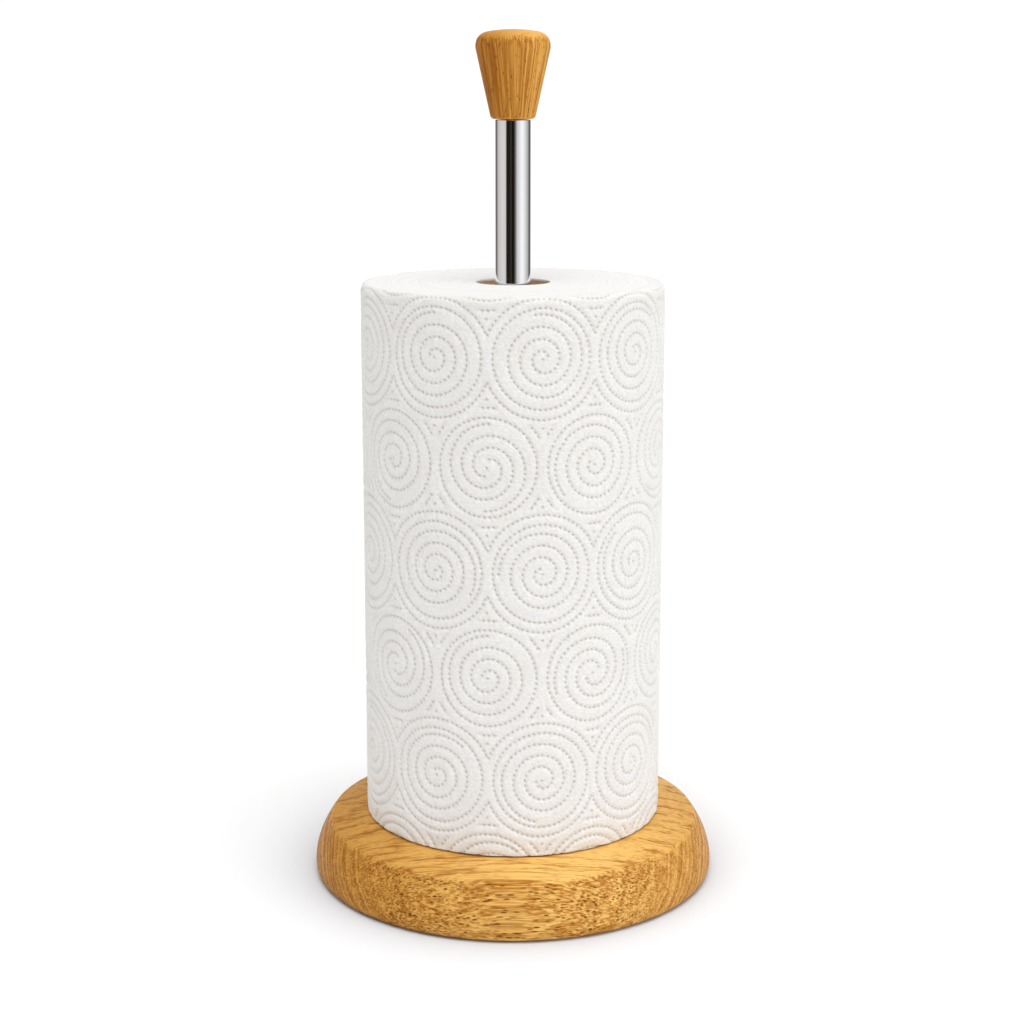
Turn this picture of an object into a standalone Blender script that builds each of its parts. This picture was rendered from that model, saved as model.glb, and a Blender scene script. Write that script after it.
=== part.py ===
"""Countertop paper towel holder.

A turned wooden base on four rubber pads carries a chromed steel post with a turned wooden
knob on its top. A roll of paper towels on its cardboard core stands on the base around the
post, turns there, and lifts off over the knob.

Metres, +Z up. The origin is on the post's axis, in the plane that the pads rest on.
"""

import math

import bmesh
import bpy
from mathutils import Vector

MM = 0.001
GAP = 0.3  # clearance between neighbouring pieces, in mm like every dimension below

# Base
FOOT_PROUD = 1.0  # height of the wood's underside above the table
BASE_SEAT_Z = 33.0
BASE_SEAT_RADIUS = 79.0
BASE_RIM_Z = 29.0
BASE_RIM_RADIUS = 96.4
BASE_RIM_FILLET = 0.8
BASE_WIDEST_RADIUS = 105.3
BASE_WIDEST_Z = 5.2
BASE_UNDER_RADIUS = 103.4
SHOULDER_CONTROL_Z = 16.8
UNDERCUT_CONTROL_Z = 1.9
SOCKET_DEPTH = 8.0
COUNTERBORE_RADIUS = 13.0
COUNTERBORE_DEPTH = 10.0
BOLT_HOLE_RADIUS = 4.5

# Feet
FOOT_RADIUS = 8.0
FOOT_HEIGHT = 2.6
FOOT_CIRCLE_RADIUS = 84.0
FOOT_COUNT = 4
FOOT_EDGE = 0.5

# Post
TUBE_RADIUS = 9.0
TUBE_WALL = 1.2
TUBE_EDGE = 0.3
PLUG_LENGTH = 20.0
KNOB_Z = 394.0

# Fasteners, all M8
THREAD_RADIUS = 4.0
TAPPED_RADIUS = 4.3
THREAD_EDGE = 0.8
BOLT_HEAD_RADIUS = 7.0
BOLT_HEAD_HEIGHT = 4.4
BOLT_HEAD_FILLET = 1.6
BOLT_LENGTH = 30.0
HEX_ACROSS_FLATS = 5.0
HEX_DEPTH = 2.6
WASHER_THICKNESS = 2.0
FLAT_WASHER_RADIUS = 12.0
SPRING_WASHER_RADIUS = 7.4
SPRING_WASHER_SLIT = 1.6
SPRING_WASHER_LEAN = math.radians(25)
STUD_LENGTH = 37.0
STUD_IN_KNOB = 22.0
INSERT_RADIUS = 6.0
INSERT_LENGTH = 18.0
INSERT_GROOVE = 0.5

# Knob, heights above its underside
KNOB_HEIGHT = 44.2
KNOB_RADIUS = 18.8
KNOB_WIDEST_Z = 35.7
KNOB_FOOT_RADIUS = 11.1
KNOB_FOOT_FILLET = 2.0
KNOB_CROWN_RADIUS = 12.0
KNOB_CROWN_DROP = 1.0
KNOB_DRILL_RADIUS = 4.6
KNOB_DRILL_DEPTH = 24.5

# Roll of towels
ROLL_HEIGHT = 279.4
ROLL_RADIUS = 77.8
ROLL_TOP_FILLET = 3.0
ROLL_BOTTOM_FILLET = 1.2
ROLL_HOLE_FILLET = 1.5
CORE_RADIUS = 19.65
CORE_WALL = 0.6
CORE_TOP_RECESS = 1.8
CORE_BOTTOM_RECESS = 0.3

# Facets round each turned piece
LARGE_FACETS = 72
MEDIUM_FACETS = 48
SMALL_FACETS = 24
SMOOTH_BELOW = math.radians(35)

# Heights and radii that follow from the above
SOCKET_FLOOR_Z = BASE_SEAT_Z - SOCKET_DEPTH
SOCKET_RADIUS = TUBE_RADIUS + GAP + 0.1
COUNTERBORE_ROOF_Z = FOOT_PROUD + COUNTERBORE_DEPTH
TUBE_BOTTOM_Z = SOCKET_FLOOR_Z + GAP
TUBE_TOP_Z = KNOB_Z - GAP
TUBE_BORE_RADIUS = TUBE_RADIUS - TUBE_WALL
PLUG_RADIUS = TUBE_BORE_RADIUS - GAP
FLAT_WASHER_Z = COUNTERBORE_ROOF_Z - GAP - WASHER_THICKNESS
SPRING_WASHER_Z = FLAT_WASHER_Z - GAP - WASHER_THICKNESS
BOLT_Z = SPRING_WASHER_Z - GAP - BOLT_HEAD_HEIGHT
ROLL_Z = BASE_SEAT_Z + GAP
KNOB_TAPER = 0.22  # radius gained for each unit of height
KNOB_TAPER_MEETS_Z = (KNOB_RADIUS - KNOB_FOOT_RADIUS) / KNOB_TAPER

GOLDEN_WOOD = (0.62, 0.33, 0.10)
CHROMED_STEEL = (0.78, 0.78, 0.79)
PLAIN_STEEL = (0.45, 0.45, 0.46)
BRASS = (0.72, 0.52, 0.22)
BLACK_RUBBER = (0.03, 0.03, 0.032)
WHITE_PAPER = (0.86, 0.85, 0.83)
BROWN_BOARD = (0.48, 0.34, 0.21)


def curve(start, control, end, segments):
    """Points of the curve that leaves start towards control and reaches end from it."""
    a, b, c = Vector(start), Vector(control), Vector(end)
    points = []
    for step in range(segments + 1):
        t = step / segments
        points.append(tuple(a * (1 - t) ** 2 + b * 2 * t * (1 - t) + c * t**2))
    return points


def rounded(corners, segments=3):
    """Outline through (radius, height, fillet) corners, with a true arc at each fillet."""
    points = []
    for index, (radius, height, fillet) in enumerate(corners):
        corner = Vector((radius, height))
        if fillet == 0:
            points.append((radius, height))
            continue
        following = corners[(index + 1) % len(corners)]
        back = (Vector(corners[index - 1][:2]) - corner).normalized()
        ahead = (Vector(following[:2]) - corner).normalized()
        half_angle = back.angle(ahead) / 2
        reach = fillet / math.tan(half_angle)
        centre = corner + (back + ahead).normalized() * fillet / math.sin(half_angle)
        start = corner + back * reach - centre
        end = corner + ahead * reach - centre
        start_angle = math.atan2(start.y, start.x)
        turn = math.remainder(math.atan2(end.y, end.x) - start_angle, math.tau)
        for step in range(segments + 1):
            angle = start_angle + turn * step / segments
            points.append((centre.x + fillet * math.cos(angle), centre.y + fillet * math.sin(angle)))
    return points


def ring(inner, outer, low, high, edge=0.0):
    """Outline of a plain tube or washer, whose four edges may be rounded."""
    corners = [(outer, high, edge), (outer, low, edge), (inner, low, edge), (inner, high, edge)]
    return rounded(corners, segments=2)


def clear_scene():
    for obj in list(bpy.data.objects):
        bpy.data.objects.remove(obj, do_unlink=True)


def make_collection(name):
    collection = bpy.data.collections.new(name)
    bpy.context.scene.collection.children.link(collection)
    return collection


def make_material(name, colour, roughness, metallic=0.0):
    material = bpy.data.materials.new(name)
    material.use_nodes = True
    shader = material.node_tree.nodes["Principled BSDF"]
    shader.inputs["Base Color"].default_value = (*colour, 1.0)
    shader.inputs["Roughness"].default_value = roughness
    shader.inputs["Metallic"].default_value = metallic
    return material


def make_axis(name, parent=None):
    """An empty on the post's axis, which the pieces of one body hang from."""
    axis = bpy.data.objects.new(name, None)
    axis.empty_display_size = 40 * MM
    axis.parent = parent
    PARTS.objects.link(axis)
    return axis


def outline_mesh(name, outline, closed):
    """The outline as a wire in the XZ plane."""
    mesh = bpy.data.meshes.new(name)
    wire = bmesh.new()
    points = [wire.verts.new((radius * MM, 0, height * MM)) for radius, height in outline]
    for first, second in zip(points, points[1:]):
        wire.edges.new((first, second))
    if closed:
        wire.edges.new((points[-1], points[0]))
    wire.to_mesh(mesh)
    wire.free()
    return mesh


def turned(name, outline, facets, closed=True, collection=None):
    """A solid of revolution about its own Z axis, from an outline that runs down its outer side.

    A closed outline makes a ring. An open one starts and ends on the axis.
    """
    obj = bpy.data.objects.new(name, outline_mesh(name, outline, closed))
    (collection or PARTS).objects.link(obj)
    screw = obj.modifiers.new("turning", "SCREW")
    screw.axis = "Z"
    screw.steps = facets
    screw.render_steps = facets
    screw.use_merge_vertices = True
    screw.merge_threshold = 0.01 * MM
    graph = bpy.context.evaluated_depsgraph_get()
    obj.data = bpy.data.meshes.new_from_object(obj.evaluated_get(graph))
    obj.modifiers.clear()
    obj.data.shade_smooth()
    obj.data.set_sharp_from_angle(angle=SMOOTH_BELOW)
    return obj


def place(obj, material, parent, x=0.0, y=0.0, z=0.0):
    obj.data.materials.append(material)
    obj.parent = parent
    obj.location = (x * MM, y * MM, z * MM)
    return obj


def cut(obj, cutter):
    """Takes the cutter's shape out of the piece."""
    cutter.hide_render = True
    cutter.display_type = "WIRE"
    boolean = obj.modifiers.new(cutter.name, "BOOLEAN")
    boolean.operation = "DIFFERENCE"
    boolean.solver = "EXACT"
    boolean.object = cutter


def foot_places():
    for index in range(FOOT_COUNT):
        angle = math.tau * (index + 0.5) / FOOT_COUNT
        yield index + 1, FOOT_CIRCLE_RADIUS * math.cos(angle), FOOT_CIRCLE_RADIUS * math.sin(angle)


def base_outline():
    """Flat seat, a gentle fall to a crisp rim, a round shoulder, an undercut and the bores."""
    seat_edge = (BASE_SEAT_RADIUS, BASE_SEAT_Z)
    rim = (BASE_RIM_RADIUS, BASE_RIM_Z)
    shoulder_control = (BASE_WIDEST_RADIUS, SHOULDER_CONTROL_Z)
    widest = (BASE_WIDEST_RADIUS, BASE_WIDEST_Z)
    undercut_control = (BASE_WIDEST_RADIUS, UNDERCUT_CONTROL_Z)
    under = (BASE_UNDER_RADIUS, FOOT_PROUD)
    rim_arc = rounded([(*seat_edge, 0), (*rim, BASE_RIM_FILLET), (*shoulder_control, 0)])[1:-1]
    shoulder = curve(rim, shoulder_control, widest, 9)[1:]
    undercut = curve(widest, undercut_control, under, 4)[1:]
    bores = [
        (COUNTERBORE_RADIUS, FOOT_PROUD),
        (COUNTERBORE_RADIUS, COUNTERBORE_ROOF_Z),
        (BOLT_HOLE_RADIUS, COUNTERBORE_ROOF_Z),
        (BOLT_HOLE_RADIUS, SOCKET_FLOOR_Z),
        (SOCKET_RADIUS, SOCKET_FLOOR_Z),
        (SOCKET_RADIUS, BASE_SEAT_Z),
    ]
    return [seat_edge, *rim_arc, *shoulder, *undercut, *bores]


def make_base(stand):
    """The wooden disc, with a shallow recess under it for each pad."""
    base = turned("base_disc", base_outline(), LARGE_FACETS)
    place(base, make_material("base_wood", GOLDEN_WOOD, 0.45), stand)
    radius = FOOT_RADIUS + GAP
    roof = FOOT_HEIGHT + GAP
    recess = [(0, roof), (radius, roof), (radius, 0), (0, 0)]
    for number, x, y in foot_places():
        cutter = turned(f"foot_recess_{number}", recess, SMALL_FACETS, False, CUTTERS)
        cutter.location = (x * MM, y * MM, 0)
        cut(base, cutter)


def make_feet(stand):
    rubber = make_material("foot_rubber", BLACK_RUBBER, 0.8)
    corners = [
        (0, FOOT_HEIGHT, 0),
        (FOOT_RADIUS, FOOT_HEIGHT, FOOT_EDGE),
        (FOOT_RADIUS, 0, FOOT_EDGE),
        (0, 0, 0),
    ]
    for number, x, y in foot_places():
        pad = turned(f"foot_pad_{number}", rounded(corners), SMALL_FACETS, closed=False)
        place(pad, rubber, stand, x, y)


def make_post(stand):
    """The tube, and the tapped steel plugs pressed into its two ends."""
    length = TUBE_TOP_Z - TUBE_BOTTOM_Z
    outline = ring(TUBE_BORE_RADIUS, TUBE_RADIUS, 0, length, TUBE_EDGE)
    tube = turned("post_tube", outline, MEDIUM_FACETS)
    place(tube, make_material("post_chrome", CHROMED_STEEL, 0.08, 1.0), stand, z=TUBE_BOTTOM_Z)
    steel = make_material("plug_steel", PLAIN_STEEL, 0.35, 1.0)
    outline = ring(TAPPED_RADIUS, PLUG_RADIUS, 0, PLUG_LENGTH)
    bottom_plug = turned("tube_bottom_plug", outline, SMALL_FACETS)
    place(bottom_plug, steel, stand, z=TUBE_BOTTOM_Z)
    top_plug = turned("tube_top_plug", outline, SMALL_FACETS)
    place(top_plug, steel, stand, z=TUBE_TOP_Z - PLUG_LENGTH)


def make_bolt(stand, steel):
    """Button-head bolt that pulls the post down onto the base, head downwards."""
    neck = BOLT_HEAD_HEIGHT
    tip = BOLT_HEAD_HEIGHT + BOLT_LENGTH
    corners = [
        (0, tip, 0),
        (THREAD_RADIUS - THREAD_EDGE, tip, 0),
        (THREAD_RADIUS, tip - THREAD_EDGE, 0),
        (THREAD_RADIUS, neck, 0),
        (BOLT_HEAD_RADIUS, neck, 0),
        (BOLT_HEAD_RADIUS, 0, BOLT_HEAD_FILLET),
        (0, 0, 0),
    ]
    bolt = turned("base_bolt", rounded(corners, segments=5), SMALL_FACETS, closed=False)
    place(bolt, steel, stand, z=BOLT_Z)
    bpy.ops.mesh.primitive_cylinder_add(
        vertices=6,
        radius=HEX_ACROSS_FLATS / math.sqrt(3) * MM,
        depth=2 * HEX_DEPTH * MM,
        location=(0, 0, BOLT_Z * MM),
    )
    hexagon = bpy.context.active_object
    hexagon.name = "hex_socket"
    hexagon.users_collection[0].objects.unlink(hexagon)
    CUTTERS.objects.link(hexagon)
    cut(bolt, hexagon)


def make_washers(stand, steel):
    """A wide flat washer against the wood, and a split spring washer under the bolt's head."""
    outline = ring(TAPPED_RADIUS, FLAT_WASHER_RADIUS, 0, WASHER_THICKNESS)
    place(turned("flat_washer", outline, SMALL_FACETS), steel, stand, z=FLAT_WASHER_Z)
    outline = ring(TAPPED_RADIUS, SPRING_WASHER_RADIUS, 0, WASHER_THICKNESS)
    spring = turned("spring_washer", outline, SMALL_FACETS)
    place(spring, steel, stand, z=SPRING_WASHER_Z)
    middle = (TAPPED_RADIUS + SPRING_WASHER_RADIUS) / 2
    bpy.ops.mesh.primitive_cube_add(
        size=MM,
        location=(middle * MM, 0, (SPRING_WASHER_Z + WASHER_THICKNESS / 2) * MM),
        rotation=(SPRING_WASHER_LEAN, 0, 0),
        scale=(2 * middle, SPRING_WASHER_SLIT, 4 * WASHER_THICKNESS),
    )
    slit = bpy.context.active_object
    slit.name = "washer_slit"
    slit.users_collection[0].objects.unlink(slit)
    CUTTERS.objects.link(slit)
    cut(spring, slit)


def knob_outline():
    """Low crown, a full round corner, a straight taper to the post and the blind bore."""
    crown_edge = (KNOB_CROWN_RADIUS, KNOB_HEIGHT - KNOB_CROWN_DROP)
    widest = (KNOB_RADIUS, KNOB_WIDEST_Z)
    waist = (KNOB_RADIUS, KNOB_TAPER_MEETS_Z)
    below_waist_z = 2 * KNOB_TAPER_MEETS_Z - KNOB_WIDEST_Z
    below_waist = (KNOB_FOOT_RADIUS + KNOB_TAPER * below_waist_z, below_waist_z)
    foot_top = (KNOB_FOOT_RADIUS + KNOB_TAPER * KNOB_FOOT_FILLET, KNOB_FOOT_FILLET)
    foot_end = (KNOB_FOOT_RADIUS - KNOB_FOOT_FILLET, 0)
    bore = INSERT_RADIUS + GAP
    shoulder_z = INSERT_LENGTH + 2 * GAP
    crown = curve((0, KNOB_HEIGHT), (KNOB_CROWN_RADIUS / 2, KNOB_HEIGHT), crown_edge, 4)
    corner = curve(crown_edge, (KNOB_RADIUS, KNOB_HEIGHT - 2 * KNOB_CROWN_DROP), widest, 7)
    return [
        *crown,
        *corner[1:],
        *curve(widest, waist, below_waist, 3)[1:],
        *curve(foot_top, (KNOB_FOOT_RADIUS, 0), foot_end, 4),
        (bore, 0),
        (bore, shoulder_z),
        (KNOB_DRILL_RADIUS, shoulder_z),
        (KNOB_DRILL_RADIUS, KNOB_DRILL_DEPTH),
        (0, KNOB_DRILL_DEPTH + KNOB_DRILL_RADIUS / 2),
    ]


def insert_outline():
    """Brass insert with two grooves between its three gripping bands."""
    band = INSERT_LENGTH / 3
    outline = [(INSERT_RADIUS - INSERT_GROOVE, INSERT_LENGTH)]
    for top in (3 * band, 2 * band, band):
        outline.append((INSERT_RADIUS, top - INSERT_GROOVE))
        outline.append((INSERT_RADIUS, top - band + 3 * INSERT_GROOVE))
        outline.append((INSERT_RADIUS - INSERT_GROOVE, top - band + 2 * INSERT_GROOVE))
        outline.append((INSERT_RADIUS - INSERT_GROOVE, top - band))
    return [*outline, (TAPPED_RADIUS, 0), (TAPPED_RADIUS, INSERT_LENGTH)]


def make_knob(stand, steel):
    """The wooden knob, its brass insert and the stud that screws it to the post."""
    knob = turned("knob", knob_outline(), MEDIUM_FACETS, closed=False)
    place(knob, make_material("knob_wood", GOLDEN_WOOD, 0.4), stand, z=KNOB_Z)
    insert = turned("knob_insert", insert_outline(), SMALL_FACETS)
    place(insert, make_material("insert_brass", BRASS, 0.3, 1.0), stand, z=KNOB_Z + GAP)
    corners = [
        (0, STUD_LENGTH),
        (THREAD_RADIUS - THREAD_EDGE, STUD_LENGTH),
        (THREAD_RADIUS, STUD_LENGTH - THREAD_EDGE),
        (THREAD_RADIUS, THREAD_EDGE),
        (THREAD_RADIUS - THREAD_EDGE, 0),
        (0, 0),
    ]
    stud = turned("knob_stud", corners, SMALL_FACETS, closed=False)
    place(stud, steel, stand, z=KNOB_Z + STUD_IN_KNOB - STUD_LENGTH)


def make_core(lift_axis):
    """Cardboard tube that the towels are wound on, a little shorter than they are wide."""
    top = ROLL_HEIGHT - CORE_TOP_RECESS
    outline = ring(CORE_RADIUS - CORE_WALL, CORE_RADIUS, CORE_BOTTOM_RECESS, top)
    core = turned("cardboard_core", outline, MEDIUM_FACETS)
    place(core, make_material("core_cardboard", BROWN_BOARD, 0.9), lift_axis, z=ROLL_Z)


def make_roll(spin_axis):
    """The towels, wound into one roll with soft edges."""
    hole = CORE_RADIUS + GAP
    corners = [
        (ROLL_RADIUS, ROLL_HEIGHT, ROLL_TOP_FILLET),
        (ROLL_RADIUS, 0, ROLL_BOTTOM_FILLET),
        (hole, 0, ROLL_BOTTOM_FILLET),
        (hole, ROLL_HEIGHT, ROLL_HOLE_FILLET),
    ]
    roll = turned("paper_roll", rounded(corners), LARGE_FACETS)
    place(roll, make_material("towel_paper", WHITE_PAPER, 0.9), spin_axis, z=ROLL_Z)


def main():
    stand = make_axis("stand")
    lift_axis = make_axis("roll_lift_axis", stand)
    spin_axis = make_axis("roll_spin_axis", lift_axis)
    fastener_steel = make_material("fastener_steel", PLAIN_STEEL, 0.3, 1.0)
    make_base(stand)
    make_feet(stand)
    make_post(stand)
    make_bolt(stand, fastener_steel)
    make_washers(stand, fastener_steel)
    make_knob(stand, fastener_steel)
    make_core(lift_axis)
    make_roll(spin_axis)


clear_scene()
PARTS = make_collection("paper_towel_holder")
CUTTERS = make_collection("cutters")
main()
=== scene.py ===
"""Looks of the countertop paper towel holder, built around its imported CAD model.

The wood, chrome, paper and cardboard that show are modelled again here as fine meshes, in the
places where the CAD has them. The hidden fasteners keep their CAD shapes and get materials.
Lengths are in millimetres, and become metres where a mesh, light or camera is made.
"""

import math

import bmesh
import bpy
import numpy as np
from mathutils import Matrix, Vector
from mathutils.kdtree import KDTree


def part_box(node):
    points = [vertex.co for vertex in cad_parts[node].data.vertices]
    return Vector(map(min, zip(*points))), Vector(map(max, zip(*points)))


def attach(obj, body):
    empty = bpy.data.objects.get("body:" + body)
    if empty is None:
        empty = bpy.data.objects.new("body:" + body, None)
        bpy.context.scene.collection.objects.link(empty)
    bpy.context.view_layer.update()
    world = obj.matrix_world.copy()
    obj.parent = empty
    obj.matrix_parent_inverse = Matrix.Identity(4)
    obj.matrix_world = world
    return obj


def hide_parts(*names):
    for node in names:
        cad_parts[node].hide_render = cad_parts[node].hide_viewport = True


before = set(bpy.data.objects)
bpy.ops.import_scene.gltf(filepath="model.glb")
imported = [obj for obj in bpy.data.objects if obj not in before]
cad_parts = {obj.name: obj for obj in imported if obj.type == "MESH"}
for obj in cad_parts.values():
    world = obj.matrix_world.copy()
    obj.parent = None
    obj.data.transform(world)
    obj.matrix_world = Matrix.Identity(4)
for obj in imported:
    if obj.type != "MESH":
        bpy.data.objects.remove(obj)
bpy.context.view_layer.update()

MM = 0.001


def node_extent(node):
    """Outer radius, lowest height and highest height of a CAD node that is centred on the post."""
    low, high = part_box(node)
    return high.x / MM, low.z / MM, high.z / MM


BASE_RADIUS, BASE_UNDER_Z, BASE_SEAT_Z = node_extent("base_disc")
TUBE_RADIUS, TUBE_BOTTOM_Z, TUBE_TOP_Z = node_extent("post_tube")
KNOB_RADIUS, KNOB_Z, KNOB_TOP_Z = node_extent("knob")
CORE_RADIUS, CORE_BOTTOM_Z, CORE_TOP_Z = node_extent("cardboard_core")
ROLL_RADIUS, ROLL_BOTTOM_Z, ROLL_TOP_Z = node_extent("paper_roll")

# Base
SEAT_RADIUS = 79.0
RIM_RADIUS = 96.4
RIM_DROP = 4.0
RIM_FILLET = 0.8
WIDEST_Z = 5.2
UNDER_RADIUS = 103.4
SHOULDER_CONTROL_Z = 16.8
UNDERCUT_CONTROL_Z = 1.9
SOCKET_RADIUS = 9.4
SOCKET_DEPTH = 8.0
BOLT_HOLE_RADIUS = 4.5
COUNTERBORE_RADIUS = 13.0
COUNTERBORE_DEPTH = 10.0
BORE_EASE = 0.5
SEAT_BEND = 2.0
SEAT_BEND_DROP = 0.46
PADS = 4
PAD_CLEARANCE = 0.3

# Knob, heights above its underside
KNOB_WIDEST_Z = 35.7
KNOB_FOOT_RADIUS = 11.1
KNOB_FOOT_FILLET = 2.0
KNOB_CROWN_RADIUS = 12.0
KNOB_CROWN_DROP = 1.0
KNOB_TAPER = 0.22
KNOB_BORE_RADIUS = 6.3
KNOB_BORE_DEPTH = 18.6
KNOB_DRILL_RADIUS = 4.6
KNOB_DRILL_DEPTH = 24.5

# Post, core and pads
TUBE_WALL = 1.2
TUBE_EDGE = 0.35
CORE_WALL = 0.6
PAD_EDGE = 0.6

# Roll of towels. Each layer of the strip lies one ply step inside the layer over it.
SHEET_LENGTH = 279.4
SHEET_THICKNESS = 0.25
PLY_STEP = 0.5
TOP_FILLET = 3.0
BOTTOM_FILLET = 1.2
LIP = 2.0
LIP_DIP = 0.4
RIM_FADE = 0.8
ROUND_RIM = 1.5
RAGGED_LONG = 0.15
RAGGED_SHORT = 0.08
SLACK = 0.12
TAIL_START = math.radians(-108) * ROLL_RADIUS
TAIL_LIFT = 0.6
TAIL_REACH = 6.0
TAIL_COLUMNS = 12
TAIL_OVERLAP = 8.0
PERFORATION_PITCH = 3.6
PERFORATION_SLIT = 2.4
PERFORATION_DEPTH = 0.35
PERFORATION_WIDTH = 0.6
GRID = 0.6
HOLE_RADIUS = CORE_RADIUS + 0.3
HOLE_FILLET = 0.5
MOUTH_RADIUS = CORE_RADIUS - 0.65
MOUTH_LIFT = 0.1
MOUTH_FILLET = 0.2
END_RECESS = 0.3
WINDING_FACETS = 240
WINDING_GRID = 0.7
WINDING_BUNDLE = 2.6
WINDING_RISE = 0.14

# Seeds of the random curves
SEED_RAGGED_LONG = 11
SEED_RAGGED_SHORT = 12
SEED_SLACK = 5
SEED_TAIL = 23
SEED_WINDINGS = 31

# Embossing: spirals of dots round the centres of a staggered pattern, each in a ring of dots
MOTIFS_ROUND = 9
MOTIF_PITCH = math.tau * ROLL_RADIUS / MOTIFS_ROUND
MOTIF_ROW_PITCH = 52.5
MOTIF_ROWS = range(-1, 6)
MOTIF_FIRST_Z = 282.9
MOTIF_FIRST_ALONG = math.radians(10.6) * ROLL_RADIUS
LINE_PITCH = 5.85
SPIRAL_INNER_RADIUS = 2.9
SPIRAL_CLEARANCE = 2.9
OUTER_RING_RADIUS = 24.4
SHARED_RING_RADIUS = 29.3
CORNER_MARGIN = 3.4
DOT_SPACING = 2.65
LINE_STEP = 0.25
DOT_RADIUS = 0.92
DOT_DEPTH = 0.8
GROOVE_DEPTH = 0.42
GROOVE_WIDTH = 0.8
QUILT_DEPTH = 0.24
QUILT_WIDTH = 2.2
CREASE_INNER = 0.6
CREASE_OUTER = 1.15
CREASE_DEPTH = 0.08
EMBOSS_DEPTH = DOT_DEPTH + GROOVE_DEPTH + QUILT_DEPTH

# Finishes. Figures in the wood have a length and a width, as have the ribs of the paper.
GROWTH_BAND = 2.4
BROAD_FIGURE = (90, 6)
STREAKS = (120, 1.8)
FIBRES = (30, 0.8)
DARK_LINES = (60, 0.9)
# Patches of the painted light on the wood's top
TOP_LIGHT_PATCHES = (90, 4.5)
FIGURE_SHARES = (0.24, 0.36, 0.4)
END_GRAIN_FACING = (0.45, 0.8)
CREPE_RIB = (2.2, 0.65)
CREPE_SLANT = 0.5
CREPE_DEPTH = 0.42
BOARD_STRIP = 62.0
BASE_PITH = (14.0, -55.0)
KNOB_PITH = (-30.0, 40.0)
# Tint of the painted shade on the wood's side away from the light
PAINTED_SIDE_SHADE = (0.68, 0.56, 0.34, 1.0)

# Studio and camera
FLOOR_WHITE = (0.96, 0.96, 0.96, 1.0)
# Colour and reach of the contact shadow painted on the floor close to the base
FLOOR_PAINTED_SHADOW = (0.76, 0.79, 0.83, 1.0)
FLOOR_PAINTED_SHADOW_REACH = 62.0
FLOOR_HALF_WIDTH = 3000
WALL_FACETS = 144
WALL_RADIUS = 1250.0
WALL_HEIGHT = 2200.0
# Stops of the walls' brightness and warmth, in degrees towards +X from the -Y side
WALL_STOPS = (
    (-180, 0.7, 0.0),
    (-152, 0.5, 0.0),
    (-143, 0.1, 0.05),
    (-126, 0.2, 0.05),
    (-113, 0.6, 0.03),
    (-74, 0.76, 0.03),
    (-50, 0.72, 0.05),
    (-42, 0.01, 0.0),
    (-30, 0.015, 0.0),
    (-22, 0.012, 0.0),
    (-12, 0.04, 0.4),
    (-4, 0.004, 0.3),
    (4, 0.008, 0.3),
    (14, 0.1, 0.15),
    (24, 0.5, 0.0),
    (31, 0.78, -0.01),
    (38, 0.79, 0.0),
    (52, 1.06, 0.0),
    (66, 1.08, 0.0),
    (84, 0.86, 0.0),
    (101, 0.58, 0.0),
    (115, 0.46, 0.0),
    (126, 0.08, 0.05),
    (143, 0.14, 0.05),
    (160, 0.7, 0.0),
)
WALL_GLOW = 1.1
FILL_STRENGTH = 0.65
FILL_LEAN = 0.32
BACKDROP_STRENGTH = 1.05
# Strength, angular size, elevation and bearing of each distant lamp
KEY_LAMP = (1.45, math.radians(40), math.radians(75), math.radians(0))
SIDE_LAMP = (0.25, math.radians(30), math.radians(25), math.radians(66))
SENSOR = 36.0
LENS = 69.07
SHIFT_RIGHT = -0.001
SHIFT_UP = -0.06
CAMERA_DISTANCE = 1000.0
CAMERA_Z = 412.7
CAMERA_PITCH = math.radians(10.65)

LARGE_FACETS = 256
MEDIUM_FACETS = 128
SMALL_FACETS = 64
SMOOTH_BELOW = math.radians(35)


# Shapes


def curve(start, control, end, segments):
    """Points of the curve that leaves start towards control and reaches end from it."""
    a, b, c = Vector(start), Vector(control), Vector(end)
    points = []
    for step in range(segments + 1):
        t = step / segments
        points.append(tuple(a * (1 - t) ** 2 + b * 2 * t * (1 - t) + c * t**2))
    return points


def rounded(corners, segments=6):
    """Outline through (radius, height, fillet) corners, with a true arc at each fillet."""
    points = []
    for index, (radius, height, fillet) in enumerate(corners):
        corner = Vector((radius, height))
        if fillet == 0:
            points.append((radius, height))
            continue
        following = corners[(index + 1) % len(corners)]
        back = (Vector(corners[index - 1][:2]) - corner).normalized()
        ahead = (Vector(following[:2]) - corner).normalized()
        half_angle = back.angle(ahead) / 2
        reach = fillet / math.tan(half_angle)
        centre = corner + (back + ahead).normalized() * fillet / math.sin(half_angle)
        start = corner + back * reach - centre
        end = corner + ahead * reach - centre
        start_angle = math.atan2(start.y, start.x)
        turn = math.remainder(math.atan2(end.y, end.x) - start_angle, math.tau)
        for step in range(segments + 1):
            angle = start_angle + turn * step / segments
            points.append((centre.x + fillet * math.cos(angle), centre.y + fillet * math.sin(angle)))
    return points


def surface(name, points, closed_columns=False, closed_rows=False):
    """Mesh object of quads over a grid of points in millimetres, rows by columns."""
    rows, columns = points.shape[:2]
    index = np.arange(rows * columns).reshape(rows, columns)
    if closed_columns:
        index = np.concatenate([index, index[:, :1]], axis=1)
    if closed_rows:
        index = np.concatenate([index, index[:1]], axis=0)
    corners = [index[:-1, :-1], index[1:, :-1], index[1:, 1:], index[:-1, 1:]]
    quads = np.stack(corners, axis=-1).reshape(-1, 4)
    mesh = bpy.data.meshes.new(name)
    mesh.from_pydata(points.reshape(-1, 3) * MM, [], quads)
    mesh.shade_smooth()
    obj = bpy.data.objects.new(name, mesh)
    bpy.context.scene.collection.objects.link(obj)
    return obj


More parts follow.
